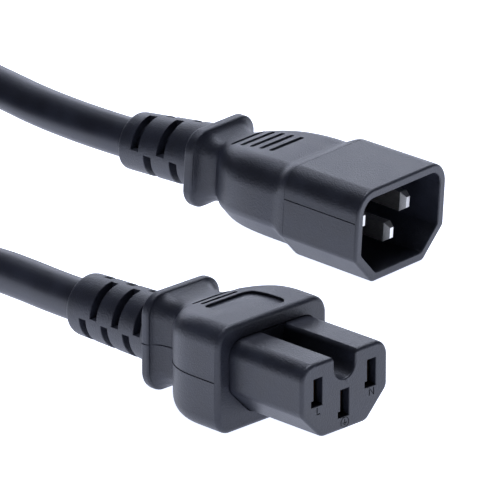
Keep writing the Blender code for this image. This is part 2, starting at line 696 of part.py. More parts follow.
def add_plug(frame, materials):
    step_x = -SHROUD_LENGTH - FIT_GAP
    body_x = step_x - PLUG_STEP_LENGTH
    neck_x = body_x - PLUG_BODY_LENGTH
    flange_x = neck_x - PLUG_NECK_LENGTH
    relief_x = flange_x - PLUG_FLANGE_LENGTH - PLUG_RELIEF_LENGTH
    axis = (Vector((flange_x, 0, -PLUG_CORD_DROP)),
            Vector((relief_x, 0, -PLUG_CORD_DROP - PLUG_RELIEF_SAG)))
    jacket_x = relief_x + PLUG_JACKET_DEPTH
    root_x = -SHROUD_LENGTH - SHROUD_ROOT_LENGTH
    places = contact_places(1, PLUG_ROW_RISE)

    half = SHROUD_HEIGHT / 2
    shroud = (SHROUD_WIDTH, half, -half, SHROUD_TOP_RADIUS, SHROUD_CHAMFER,
              SHROUD_CHAMFER_RADIUS)
    outer = section_outline(shroud, -SHROUD_DRAFT)
    root = section_outline(shroud, -SHROUD_ROOT_INSET)
    bm = bmesh.new()
    loft(bm, quarter_round(0.0, shroud, SHROUD_EDGE, 1) + [
        ring_at(-SHROUD_LENGTH, outer), ring_at(-SHROUD_LENGTH, root), ring_at(root_x, root)])
    carrier = add_piece("plug_shroud", bm, materials["carrier"], frame)

    cavity_x = SHROUD_FLOOR - SHROUD_LENGTH
    cavity = section_outline(shroud, -SHROUD_WALL)
    mouth = section_outline(shroud, RIM_CHAMFER + OVERRUN - SHROUD_WALL)
    bm = bmesh.new()
    loft(bm, [ring_at(cavity_x, cavity), ring_at(-RIM_CHAMFER, cavity),
              ring_at(OVERRUN, mouth)])
    combine(carrier, add_tool("plug_cavity", bm, frame), "DIFFERENCE")

    bore = rectangle_outline(PIN_WIDTH + 2 * FIT_GAP, PIN_HEIGHT + 2 * FIT_GAP)
    bm = bmesh.new()
    for place in places.values():
        loft(bm, [ring_at(cavity_x + OVERRUN, bore, place),
                  ring_at(root_x - OVERRUN, bore, place)])
    combine(carrier, add_tool("plug_pin_bores", bm, frame), "DIFFERENCE")

    for name, place in places.items():
        tip_x = -EARTH_SET_BACK if name == "earth" else -PIN_SET_BACK
        crimp_x = add_pin(f"plug_{name}_pin", place, tip_x, root_x - FIT_GAP,
                          materials["pin"], frame)

    body = (SHROUD_WIDTH - 2 * PLUG_STEP, half - PLUG_STEP, PLUG_STEP - half, PLUG_BODY_RADIUS,
            PLUG_BODY_CUT, PLUG_BODY_CUT_RADIUS)
    half = PLUG_NECK_HEIGHT / 2
    drop = PLUG_NECK_DROP
    neck = (PLUG_NECK_WIDTH, half - drop, -half - drop, PLUG_NECK_RADIUS, PLUG_NECK_CUT,
            PLUG_NECK_RADIUS)
    half = PLUG_FLANGE_HEIGHT / 2
    flange = (PLUG_FLANGE_WIDTH, half - drop, -half - drop, PLUG_FLANGE_RADIUS,
              PLUG_FLANGE_CUT, PLUG_FLANGE_RADIUS)
    rings = [ring_at(step_x, outer)]
    rings += closing_rings(body, neck, PLUG_FULLNESS_SHARES, body_x, PLUG_BODY_LENGTH)
    rings += neck_and_flange(neck, flange, neck_x, PLUG_NECK_LENGTH, PLUG_FLARE_LENGTH,
                             PLUG_FLANGE_LENGTH)
    bm = bmesh.new()
    loft(bm, rings)
    moulding = add_piece("plug_overmould", bm, materials["overmould"], frame)

    bm = bmesh.new()
    relief_sleeve(bm, axis)
    combine(moulding, add_tool("plug_sleeve", bm, frame), "UNION")

    bm = bmesh.new()
    pocket = section_outline(shroud, FIT_GAP - SHROUD_ROOT_INSET)
    loft(bm, [ring_at(root_x - FIT_GAP, pocket), ring_at(step_x + OVERRUN, pocket)])
    combine(moulding, add_tool("plug_pocket", bm, frame), "DIFFERENCE")
    bend_x = crimp_x - CRIMP_LENGTH - BARE_LENGTH - FIT_GAP
    for tool in add_wiring("plug", frame, places, crimp_x, bend_x, jacket_x, axis, materials):
        combine(moulding, tool, "DIFFERENCE")

    bm = bmesh.new()
    relief_slots(bm, axis, PLUG_SLOT_START, PLUG_SLOT_STEP, PLUG_SLOT_COUNT, 1)
    combine(moulding, add_tool("plug_slots", bm, frame), "DIFFERENCE")

    bm = bmesh.new()
    for index in range(PLUG_GRIP_COUNT):
        x = body_x - PLUG_GRIP_START - GRIP_PITCH * index
        surface = closing_section(body, neck, PLUG_FULLNESS_SHARES,
                                  (body_x - x) / PLUG_BODY_LENGTH)[1]
        grip_groove(bm, x, PLUG_GRIP_LENGTH, surface - GRIP_DEPTH, SHROUD_HEIGHT / 2)
    combine(moulding, add_tool("plug_grip_cuts", bm, frame), "DIFFERENCE")
    return axis


def lead_route(exit_point, out, join_angle, side, level):
    """Points from a relief's end to the coil: straight out, then one smooth curve that
    would run onto the coil's outer turn; side is +1 where that turn is met clockwise."""
    outer = (COIL_MEAN_DIAMETER + COIL_TURNS_WIDE * CORD_DIAMETER) / 2
    middle = outer - CORD_DIAMETER / 2
    back = math.sqrt((outer + FIT_GAP) ** 2 - (middle - CORD_DIAMETER / 2) ** 2)
    into = Vector((math.sin(join_angle), -math.cos(join_angle), 0)) * side
    centre = Vector((*COIL_CENTRE, level))
    end = centre + middle * Vector((math.cos(join_angle), math.sin(join_angle), 0)) - into * back
    first = exit_point + out * FIT_GAP
    start = exit_point + out * LEAD_STRAIGHT
    reach = (end - start).length
    count = max(3, round(reach / LEAD_STEP))
    route = [first]
    for step in range(count + 1):
        t = step / count
        route.append(start * (2 * t ** 3 - 3 * t ** 2 + 1) + end * (3 * t ** 2 - 2 * t ** 3)
                     + out * reach * (t ** 3 - 2 * t ** 2 + t) + into * reach * (t ** 3 - t ** 2))
    return route


def add_lead(name, material, route):
    """Round cord along a route, as a bevelled curve with filled ends."""
    curve = bpy.data.curves.new(name, "CURVE")
    curve.dimensions = "3D"
    curve.bevel_depth = CORD_DIAMETER / 2
    curve.bevel_resolution = 4
    curve.use_fill_caps = True
    spline = curve.splines.new("POLY")
    spline.points.add(len(route) - 1)
    for spot, point in zip(spline.points, route):
        spot.co = (*point, 1.0)
    curve.materials.append(material)
    piece = bpy.data.objects.new(name, curve)
    bpy.context.scene.collection.objects.link(piece)


def coil_outline(grow=0.0):
    """Outline across the coil's bundle of turns, (out from its middle, up)."""
    mean = COIL_MEAN_DIAMETER / 2
    half = COIL_TURNS_WIDE * CORD_DIAMETER / 2 + grow
    base = TIE_THICKNESS + FIT_GAP
    foot = base - grow
    head = base + COIL_TURNS_HIGH * CORD_DIAMETER + grow
    corner = CORD_DIAMETER / 2 + grow
    return rounded_outline([
        (mean - half, foot, corner), (mean + half, foot, corner),
        (mean + half, head, corner), (mean - half, head, corner),
    ])


def coil_ring(angle, outline):
    centre = Vector((*COIL_CENTRE, 0))
    return [centre + Vector((spot.x * math.cos(angle), spot.x * math.sin(angle), spot.y))
            for spot in outline]


def add_coil(material):
    """Outer shape of the coil: a turned ring as wide and as high as its turns."""
    bm = bmesh.new()
    outline = coil_outline()
    loft(bm, [coil_ring(math.tau * step / COIL_STEPS, outline) for step in range(COIL_STEPS)],
         endless=True)
    add_piece("cord_coil", bm, material, None)


def add_tie(material):
    """Strap round the bundle of turns; the coil stands on its lower side."""
    inner = coil_outline(FIT_GAP)
    outer = coil_outline(FIT_GAP + TIE_THICKNESS)
    spread = TIE_WIDTH / COIL_MEAN_DIAMETER
    angles = [TIE_ANGLE + spread * (2 * step / TIE_STEPS - 1) for step in range(TIE_STEPS + 1)]
    bm = bmesh.new()
    loft(bm, [coil_ring(angle, outer) for angle in angles]
         + [coil_ring(angle, inner) for angle in reversed(angles)], endless=True)
    add_piece("coil_tie", bm, material, None)


def build():
    for item in list(bpy.data.objects):
        bpy.data.objects.remove(item)
    materials = {
        "overmould": add_material("soft_pvc_overmould", (0.060, 0.064, 0.075), 0.48),
        "carrier": add_material("moulded_carrier_plastic", (0.052, 0.055, 0.064), 0.42),
        "jacket": add_material("pvc_cord_jacket", (0.058, 0.062, 0.073), 0.45),
        "pin": add_material("nickel_plated_pin", (0.72, 0.71, 0.68), 0.22, 1.0),
        "contact": add_material("phosphor_bronze_contact", (0.68, 0.47, 0.30), 0.3, 1.0),
        "copper": add_material("bare_copper", (0.83, 0.45, 0.30), 0.35, 1.0),
        "line": add_material("brown_core_insulation", (0.10, 0.042, 0.020), 0.5),
        "neutral": add_material("blue_core_insulation", (0.020, 0.090, 0.300), 0.5),
        "earth": add_material("green_yellow_core_insulation", (0.28, 0.42, 0.03), 0.5),
        "strap": add_material("woven_nylon_strap", (0.02, 0.02, 0.022), 0.85),
    }
    connector = add_frame("connector_frame", (0, 0, HOUSING_HEIGHT / 2))
    rim_height = SHROUD_HEIGHT / 2 * math.cos(PLUG_TILT) - SHROUD_EDGE * math.sin(PLUG_TILT)
    plug = add_frame("plug_frame", (*PLUG_PLACE, rim_height), PLUG_TURN, PLUG_TILT)
    lie = Matrix.Rotation(PLUG_TURN, 3, "Z") @ Matrix.Rotation(PLUG_TILT, 3, "Y")
    connector_front, connector_end = add_connector(connector, materials)
    plug_front, plug_end = (lie @ point for point in add_plug(plug, materials))
    low = TIE_THICKNESS + FIT_GAP + CORD_DIAMETER / 2
    high = low + (COIL_TURNS_HIGH - 1) * CORD_DIAMETER
    add_lead("connector_lead", materials["jacket"],
             lead_route(connector_end + connector.location,
                        (connector_end - connector_front).normalized(),
                        CONNECTOR_JOIN_ANGLE, 1, low))
    add_lead("plug_lead", materials["jacket"],
             lead_route(plug_end + plug.location, (plug_end - plug_front).normalized(),
                        PLUG_JOIN_ANGLE, -1, high))
    add_coil(materials["jacket"])
    add_tie(materials["strap"])


build()
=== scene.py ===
import math

import bmesh
import bpy
from mathutils import Matrix, Vector


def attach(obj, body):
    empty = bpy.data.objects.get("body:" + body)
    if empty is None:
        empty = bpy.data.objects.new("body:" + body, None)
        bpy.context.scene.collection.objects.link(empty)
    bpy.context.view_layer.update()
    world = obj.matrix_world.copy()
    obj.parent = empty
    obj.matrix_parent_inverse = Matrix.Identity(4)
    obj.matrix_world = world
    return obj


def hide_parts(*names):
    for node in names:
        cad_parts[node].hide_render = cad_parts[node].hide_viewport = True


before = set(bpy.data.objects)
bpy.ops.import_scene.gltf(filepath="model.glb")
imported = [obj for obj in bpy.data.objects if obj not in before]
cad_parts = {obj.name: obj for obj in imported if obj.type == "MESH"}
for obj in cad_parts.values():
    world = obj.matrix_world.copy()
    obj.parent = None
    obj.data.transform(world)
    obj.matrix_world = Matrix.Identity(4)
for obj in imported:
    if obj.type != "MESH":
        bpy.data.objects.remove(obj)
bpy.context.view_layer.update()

# Camera: a long lens from the front right and a little above, so both ends of the cord
# point towards the lower right and their side edges stay almost parallel.
MM = 0.001
azimuth, elevation = math.radians(45.1), math.radians(20.4)
camera_distance, focal_length, sensor_width = 1.2, 492, 36
nose_face = Vector((21.1, 0.0, 10.7)) * MM
left_of_nose, above_nose = 19.2 * MM, 27.7 * MM

back = Vector((math.sin(azimuth) * math.cos(elevation),
               -math.cos(azimuth) * math.cos(elevation), math.sin(elevation)))
right = Vector((math.cos(azimuth), math.sin(azimuth), 0))
up = back.cross(right)
camera = bpy.data.objects.new("camera", bpy.data.cameras.new("camera"))
camera.data.sensor_width = sensor_width
camera.data.lens = focal_length
camera.data.clip_start, camera.data.clip_end = 0.05, 20
camera.location = nose_face - right * left_of_nose + up * above_nose + back * camera_distance
camera.rotation_mode = "QUATERNION"
camera.rotation_quaternion = (-back).to_track_quat("-Z", "Y")
bpy.context.scene.collection.objects.link(camera)
bpy.context.scene.camera = camera
bpy.context.scene.view_settings.view_transform = "Standard"


# Studio: a glowing white table under the cord, a wide soft light overhead and a second one
# behind at the left, which draws the bright edges of the round parts.
def linear(code):
    """Colour of the scene from an sRGB hex code."""
    channels = [int(code[at:at + 2], 16) / 255 for at in (1, 3, 5)]
    return [c / 12.92 if c <= 0.04045 else ((c + 0.055) / 1.055) ** 2.4 for c in channels] + [1.0]


def add_node(tree, kind, settings, links=()):
    """Adds a node: settings are its sockets or properties, links feed its sockets."""
    node = tree.nodes.new(kind)
    for name, value in settings.items():
        if name in node.inputs:
            node.inputs[name].default_value = value
        else:
            setattr(node, name, value)
    for name, source in links:
        tree.links.new(source, node.inputs[name])
    return node


def new_material(name):
    """New material, its node tree and its Principled shader, ready for nodes to feed it."""
    material = bpy.data.materials.new(name)
    material.use_nodes = True
    return material, material.node_tree, material.node_tree.nodes["Principled BSDF"]


lamp_colour = "#e6ecff"
table_size, table_gap, table_glow = 3.0, 0.05 * MM, 1.25
room_glow = 0.06
lit_point = Vector((-0.02, 0.03, 0.0))

floor_mesh = bpy.data.meshes.new("studio_floor")
bm = bmesh.new()
bmesh.ops.create_grid(bm, x_segments=1, y_segments=1, size=table_size)
bm.to_mesh(floor_mesh)
bm.free()
floor = bpy.data.objects.new("studio_floor", floor_mesh)
floor.location.z = -table_gap
bpy.context.scene.collection.objects.link(floor)
# opal acrylic, cast and lit from below: an even white without any pattern
opal, tree, shader = new_material("opal_acrylic_light_table")
shader.inputs["Base Color"].default_value = linear("#f4f4f5")
shader.inputs["Roughness"].default_value = 0.8
shader.inputs["Emission Color"].default_value = linear(lamp_colour)
shader.inputs["Emission Strength"].default_value = table_glow
floor_mesh.materials.append(opal)

world = bpy.data.worlds.new("dim_room")
world.use_nodes = True
world.node_tree.nodes["Background"].inputs["Color"].default_value = linear("#fbfcff")
world.node_tree.nodes["Background"].inputs["Strength"].default_value = room_glow
bpy.context.scene.world = world

for name, place, size, power in (
        ("overhead_softbox", (-0.2, 0.4, 1.2), (0.9, 0.7), 13.0),
        ("rear_softbox", (-0.9, 0.95, 0.42), (1.6, 0.5), 8.0)):
    lamp = bpy.data.lights.new(name, "AREA")
    lamp.shape = "RECTANGLE"
    lamp.size, lamp.size_y = size
    lamp.energy = power
    lamp.color = linear(lamp_colour)[:3]
    lamp_object = bpy.data.objects.new(name, lamp)
    lamp_object.location = place
    lamp_object.rotation_mode = "QUATERNION"
    lamp_object.rotation_quaternion = (lit_point - Vector(place)).to_track_quat("-Z", "Y")
    bpy.context.scene.collection.objects.link(lamp_object)


# Cores: fine copper strands twisted into three conductors, each in extruded PVC of its own
# colour. They are crimped to the pins and contacts and buried in the moulded ends.
def grainy(name, dark, light, patch_mm, grain_mm, relief_mm, roughness):
    """Moulded or extruded PVC: patches of tone and gloss, and a fine surface grain."""
    material, tree, shader = new_material(name)
    place = add_node(tree, "ShaderNodeTexCoord", {})
    patches = add_node(tree, "ShaderNodeTexNoise", {"Scale": 1 / (patch_mm * MM), "Detail": 3.0},
                       [("Vector", place.outputs["Object"])])
    grain = add_node(tree, "ShaderNodeTexNoise", {"Scale": 1 / (grain_mm * MM), "Detail": 2.0},
                     [("Vector", place.outputs["Object"])])
    blend = add_node(tree, "ShaderNodeMath", {"operation": "MULTIPLY_ADD"})
    tree.links.new(grain.outputs["Fac"], blend.inputs[0])
    blend.inputs[1].default_value = 0.5
    tree.links.new(patches.outputs["Fac"], blend.inputs[2])
    ramp = add_node(tree, "ShaderNodeValToRGB", {}, [("Fac", blend.outputs[0])])
    ramp.color_ramp.elements[0].position = 0.55
    ramp.color_ramp.elements[0].color = linear(dark)
    ramp.color_ramp.elements[1].position = 0.95
    ramp.color_ramp.elements[1].color = linear(light)
    tree.links.new(ramp.outputs["Color"], shader.inputs["Base Color"])
    gloss = add_node(tree, "ShaderNodeMapRange",
                     {"To Min": roughness - 0.05, "To Max": roughness + 0.07},
                     [("Value", patches.outputs["Fac"])])
    tree.links.new(gloss.outputs["Result"], shader.inputs["Roughness"])
    bump = add_node(tree, "ShaderNodeBump", {"Strength": 0.6, "Distance": relief_mm * MM},
                    [("Height", grain.outputs["Fac"])])
    tree.links.new(bump.outputs["Normal"], shader.inputs["Normal"])
    shader.inputs["IOR"].default_value = 1.53
    return material


def metal(name, dark, light, line_mm, relief_mm, roughness, stretch):
    """Drawn, stamped or stranded metal: fine lines along the way it was made."""
    material, tree, shader = new_material(name)
    place = add_node(tree, "ShaderNodeTexCoord", {})
    turn = add_node(tree, "ShaderNodeMapping", {"Scale": stretch},
                    [("Vector", place.outputs["Object"])])
    lines = add_node(tree, "ShaderNodeTexNoise", {"Scale": 1 / (line_mm * MM), "Detail": 4.0},
                     [("Vector", turn.outputs["Vector"])])
    ramp = add_node(tree, "ShaderNodeValToRGB", {}, [("Fac", lines.outputs["Fac"])])
    ramp.color_ramp.elements[0].position = 0.3
    ramp.color_ramp.elements[0].color = linear(dark)
    ramp.color_ramp.elements[1].position = 0.7
    ramp.color_ramp.elements[1].color = linear(light)
    tree.links.new(ramp.outputs["Color"], shader.inputs["Base Color"])
    gloss = add_node(tree, "ShaderNodeMapRange",
                     {"To Min": roughness - 0.05, "To Max": roughness + 0.09},
                     [("Value", lines.outputs["Fac"])])
    tree.links.new(gloss.outputs["Result"], shader.inputs["Roughness"])
    bump = add_node(tree, "ShaderNodeBump", {"Strength": 0.4, "Distance": relief_mm * MM},
                    [("Height", lines.outputs["Fac"])])
    tree.links.new(bump.outputs["Normal"], shader.inputs["Normal"])
    shader.inputs["Metallic"].default_value = 1.0
    return material


def dress(material, *names):
    """Gives a material to frame nodes that are shown as they are."""
    for name in names:
        bpy.data.objects[name].material_slots[0].material = material


strand, skin_patch, skin_grain, skin_relief, skin_roughness = 0.25, 3.0, 0.2, 0.01, 0.45
core_diameter = 2.8

# bare copper, drawn and twisted: strands 0.25 mm thick, bright where freshly stripped
copper = metal("stranded_bare_copper", "#a85f3c", "#d98d62", line_mm=strand, relief_mm=0.05,
               roughness=0.32, stretch=(0.1, 1.0, 1.0))
# PVC extruded over the copper: an even satin skin, its grain drawn 0.2 mm wide so it shows
brown = grainy("extruded_pvc_brown", "#4a2a1c", "#5a3524", skin_patch, skin_grain, skin_relief,
               skin_roughness)
blue = grainy("extruded_pvc_blue", "#24508f", "#2f60a5", skin_patch, skin_grain, skin_relief,
              skin_roughness)
for end in ("plug", "connector"):
    dress(copper, *(f"{end}_{core}_conductor" for core in ("line", "neutral", "earth")))
    dress(brown, f"{end}_line_core")
    dress(blue, f"{end}_neutral_core")
# PVC extruded in two colours: green with one yellow band in each core's width, both satin
striped, tree, shader = new_material("extruded_pvc_green_yellow")
place = add_node(tree, "ShaderNodeTexCoord", {})
wave_period = 0.314  # a wave texture of scale 1 repeats after this many metres
sides = add_node(tree, "ShaderNodeTexWave", {"Scale": wave_period / (core_diameter * MM),
                                             "bands_direction": "Z"},
                 [("Vector", place.outputs["Object"])])
band = add_node(tree, "ShaderNodeValToRGB", {}, [("Fac", sides.outputs["Fac"])])
band.color_ramp.interpolation = "CONSTANT"
band.color_ramp.elements[0].color = linear("#3f8a3a")
band.color_ramp.elements[1].position = 0.6
band.color_ramp.elements[1].color = linear("#d8c437")
tree.links.new(band.outputs["Color"], shader.inputs["Base Color"])
skin = add_node(tree, "ShaderNodeTexNoise", {"Scale": 1 / (skin_grain * MM)},
                [("Vector", place.outputs["Object"])])
bump = add_node(tree, "ShaderNodeBump", {"Strength": 0.4, "Distance": skin_relief * MM},
                [("Height", skin.outputs["Fac"])])
tree.links.new(bump.outputs["Normal"], shader.inputs["Normal"])
shader.inputs["Roughness"].default_value = skin_roughness
dress(striped, "plug_earth_core", "connector_earth_core")

# Pins: flat brass bars 2 by 4 mm with bevelled tips, nickel plated. They are pressed
# through the floor of the shroud, the earth pin a little longer than the other two.

# bright nickel plated on drawn brass: a soft mirror with faint drawing lines along the pin
nickel = metal("bright_nickel_plate", "#c2c1be", "#dddcd9", line_mm=0.12, relief_mm=0.004,
               roughness=0.34, stretch=(0.08, 1.0, 1.0))
dress(nickel, "plug_line_pin", "plug_neutral_pin", "plug_earth_pin")

# Spring contacts: phosphor bronze strip folded to two leaves that grip a pin, with a
# crimp behind. They snap into the chambers of the connector's nose.

# phosphor bronze, rolled and stamped: warm brown metal with rolling lines along the contact
bronze = metal("stamped_phosphor_bronze", "#8d6238", "#b98a58", line_mm=0.15, relief_mm=0.006,
               roughness=0.3, stretch=(0.1, 1.0, 1.0))
dress(bronze, "connector_line_contact", "connector_neutral_contact", "connector_earth_contact")


# Shroud: hard PVC carrier moulded round the three pins, open at the front, with the fine
# line of the mould on its sides. It drafts a little towards the joint with the soft body.
def loop_at(bm, x, corners):
    """Closed edge loop in the plane at x through (across, up, reach, segments) corners,
    each rounded over its reach."""
    verts = [bm.verts.new((x, across, height)) for across, height, *_ in corners]
    face = bm.faces.new(verts)
    for reach in sorted({corner[2] for corner in corners if corner[2] > 0}, reverse=True):
        chosen = [vert for vert, corner in zip(verts, corners) if corner[2] == reach]
        steps = next(corner[3] for corner in corners if corner[2] == reach)
        made = bmesh.ops.bevel(bm, geom=chosen, offset=reach, offset_type="OFFSET",
                               segments=steps, profile=0.5, affect="VERTICES", material=-1)
        face = max((f for v in made["verts"] for f in v.link_faces), key=lambda f: len(f.verts))
    edges = list(face.edges)
    bmesh.ops.delete(bm, geom=[face], context="FACES_ONLY")
    return edges


def skin_loops(bm, loops):
    """Skins a closed body over edge loops and closes both ends."""
    for near, far in zip(loops, loops[1:]):
        bmesh.ops.bridge_loops(bm, edges=near + far)
    for loop in (loops[0], loops[-1]):
        bmesh.ops.contextual_create(bm, geom=loop)
    bmesh.ops.recalc_face_normals(bm, faces=bm.faces)


def body_corners(section, grow=0.0):
    """Corners of a section (width, top, bottom, top radius, cut, how far the cut's corners
    are rounded): round above, cut below."""
    width, top, bottom, radius, cut, soft = section
    smallest_radius, steps, cut_steps = 0.2, 10, 5
    half, low = width / 2 + grow, bottom - grow
    cut = cut + grow * (2 - math.sqrt(2))
    radius = max(radius + grow, smallest_radius)
    return [(-half, top + grow, radius, steps), (half, top + grow, radius, steps),
            (half, low + cut, soft, cut_steps), (half - cut, low, soft, cut_steps),
            (cut - half, low, soft, cut_steps), (-half, low + cut, soft, cut_steps)]


def end_edges(bm, x):
    """Edges round the flat end of a body at x."""
    return [edge for edge in bm.edges if len(edge.link_faces) == 2
            and all(abs(vert.co.x - x) < 0.001 for vert in edge.verts)]


def parting_line(bm, height, first_x, last_x):
    """Fine raised line where the two halves of the mould met, along both sides."""
    half_width, ridge = 0.13, 0.16
    cut = bmesh.ops.bisect_plane(bm, geom=bm.verts[:] + bm.edges[:] + bm.faces[:], dist=0.0001,
                                 plane_co=(0, 0, height), plane_no=(0, 0, 1))
    line = [item for item in cut["geom_cut"] if isinstance(item, bmesh.types.BMEdge)
            and all(first_x < vert.co.x < last_x for vert in item.verts)]
    made = bmesh.ops.bevel(bm, geom=line, offset=half_width, segments=2, profile=0.5,
                           affect="EDGES", clamp_overlap=True, material=-1)
    for vert in made["verts"]:
        if abs(vert.co.z - height) < 0.01:
            vert.co.y += math.copysign(ridge, vert.co.y)


def combine(body, *steps):
    """Exact Booleans of a body with (operation, tool) steps, on temporary objects."""
    pieces = []
    for index, (operation, form) in enumerate((("BODY", body),) + steps):
        mesh = bpy.data.meshes.new(f"form_{index}")
        form.to_mesh(mesh)
        form.free()
        pieces.append(bpy.data.objects.new(f"form_{index}", mesh))
        bpy.context.scene.collection.objects.link(pieces[-1])
        if index:
            modifier = pieces[0].modifiers.new(operation, "BOOLEAN")
            modifier.operation = operation
            modifier.object = pieces[-1]
            modifier.solver = "EXACT"
    shape = pieces[0].evaluated_get(bpy.context.evaluated_depsgraph_get())
    result = bmesh.new()
    result.from_mesh(shape.to_mesh())
    shape.to_mesh_clear()
    for piece in pieces:
        mesh = piece.data
        bpy.data.objects.remove(piece)
        bpy.data.meshes.remove(mesh)
    bmesh.ops.remove_doubles(result, verts=result.verts, dist=0.0005)
    return result


def finish(name, bm, place, material, node):
    """Places a shape modelled in millimetres, shades it and gives it its part of the frame."""
    bm.transform(place @ Matrix.Scale(MM, 4))
    mesh = bpy.data.meshes.new(name)
    bm.to_mesh(mesh)
    bm.free()
    mesh.materials.append(material)
    mesh.shade_smooth()
    mesh.set_sharp_from_angle(angle=math.radians(38))
    piece = bpy.data.objects.new(name, mesh)
    bpy.context.scene.collection.objects.link(piece)
    weigh = piece.modifiers.new("even_normals", "WEIGHTED_NORMAL")
    weigh.keep_sharp = True
    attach(piece, "root")
    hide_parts(node)
    return piece


plug_turn, plug_tilt = math.radians(5.5), math.radians(3.4)
shroud_height, shroud_length, shroud_draft, wall, floor_thickness = 20.0, 18.5, 0.12, 1.9, 1.6
rim_edge, joint_edge = 0.6, 0.05
shroud = (27.95, shroud_height / 2, -shroud_height / 2, 4.8, 6.0, 0.5)
rim_level = shroud_height / 2 * math.cos(plug_tilt) - rim_edge * math.sin(plug_tilt)
plug_place = (Matrix.Translation(Vector((-34.1, 72.4, rim_level)) * MM)
              @ Matrix.Rotation(plug_turn, 4, "Z") @ Matrix.Rotation(plug_tilt, 4, "Y"))

bm = bmesh.new()
skin_loops(bm, [loop_at(bm, 0.0, body_corners(shroud)),
                loop_at(bm, -shroud_length, body_corners(shroud, -shroud_draft))])
bmesh.ops.bevel(bm, geom=end_edges(bm, 0.0), offset=rim_edge, segments=5, profile=0.5,
                affect="EDGES", material=-1)
bmesh.ops.bevel(bm, geom=end_edges(bm, -shroud_length), offset=joint_edge, segments=2,
                profile=0.5, affect="EDGES", material=-1)
parting_line(bm, height=3.8, first_x=-shroud_length + 0.01, last_x=-0.5)
cavity = bmesh.new()
skin_loops(cavity, [loop_at(cavity, x, body_corners(shroud, rounding - wall))
                    for x, rounding in ((floor_thickness - shroud_length, 0.0), (-0.35, 0.0),
                                        (-0.12, 0.07), (0.0, 0.22), (1.0, 0.9))])
bm = combine(bm, ("DIFFERENCE", cavity))

# rigid PVC from a spark-eroded mould: a fine even grain, drawn 0.3 mm wide so that it shows,
# takes the sharpness off the reflections; a little darker and glossier than the soft body
carrier_plastic = grainy("moulded_rigid_pvc", "#1a1c25", "#242731", patch_mm=4.0, grain_mm=0.3,
                         relief_mm=0.11, roughness=0.4)
finish("shroud", bm, plug_place, carrier_plastic, "plug_shroud")


# Plug body: soft PVC moulded over the shroud's root and the cord, with five grip grooves
# on its arched top, a waist, a flange and a slotted sleeve that lets the cord bend.
def ease(share):
    """Share of a way that starts and stops gently."""
    return share * share * (3 - 2 * share)


def closing(body, neck, fullness, share):
    """Section of a body at a share of its closing length, its sides, top and bottom each
    closing on the neck at their own rate."""
    side, top, bottom = (1 - share ** power for power in fullness)
    rates = (side, top, bottom, side, side, side)
    return tuple(b + (a - b) * rate for a, b, rate in zip(body, neck, rates))


def body_loops(bm, first_x, length, body, neck, fullness):
    """Loops of a body as it closes on its neck."""
    steps = 28
    return [loop_at(bm, first_x - length * step / steps,
                    body_corners(closing(body, neck, fullness, step / steps)))
            for step in range(steps)]


def flange_loops(bm, neck, flange, neck_x, front_x, rear_x, flare):
    """Loops of the straight neck, the hollow flare and the flange with rounded edges."""
    flare_steps, edge_steps, edge = 8, 4, 0.6
    loops = [loop_at(bm, neck_x, body_corners(neck))]
    for step in range(flare_steps):
        angle = math.pi / 2 * step / flare_steps
        section = tuple(a + (b - a) * (1 - math.cos(angle)) for a, b in zip(neck, flange))
        loops.append(loop_at(bm, front_x + flare * (1 - math.sin(angle)), body_corners(section)))
    for x, towards in ((front_x, 1), (rear_x, -1)):
        ends = []
        for step in range(edge_steps + 1):
            angle = math.pi / 2 * step / edge_steps
            ends.append((x - towards * edge * (1 - math.cos(angle)),
                         -edge * (1 - math.sin(angle))))
        for at, grow in (ends if towards > 0 else ends[::-1]):
            loops.append(loop_at(bm, at, body_corners(flange, grow)))
    return loops


def soften_crease(bm, x):
    """Hollows out the crease where a body meets its neck at x."""
    reach, rounds = 1.9, 5
    near = [vert for vert in bm.verts if abs(vert.co.x - x) < reach]
    for _ in range(rounds):
        bmesh.ops.smooth_vert(bm, verts=near, factor=0.5, use_axis_y=True, use_axis_z=True)


def round_loop(bm, centre, radius, sides):
    """Circle of edges across a sleeve, round a point of its axis."""
    upright = Matrix.Rotation(math.pi / 2, 4, "Y")
    made = bmesh.ops.create_circle(bm, segments=sides, radius=radius,
                                   matrix=Matrix.Translation(centre) @ upright)
    return list({edge for vert in made["verts"] for edge in vert.link_edges})


def relief_sleeve(front, rear, radii):
    """Tapered sleeve along an axis from its front point to its rear one, end rounded."""
    bm = bmesh.new()
    skin_loops(bm, [round_loop(bm, front.lerp(rear, share), radius, sides=72)
                    for share, radius in ((0.0, radii[0]), (0.965, radii[1]),
                                          (0.985, radii[1] - 0.1), (0.995, radii[1] - 0.3),
                                          (1.0, radii[1] - 0.6))])
    return bm


bore_radius = 4.35


def bore_cut(front, rear, depth):
    """Round bore of the sleeve for the cord, its mouth a little flared."""
    bm = bmesh.new()
    along = (rear - front).normalized()
    skin_loops(bm, [round_loop(bm, rear + along * distance, bore_radius + flare, sides=64)
                    for distance, flare in ((-depth, 0.0), (-0.25, 0.0), (0.0, 0.2),
                                            (1.0, 0.45))])
    return bm


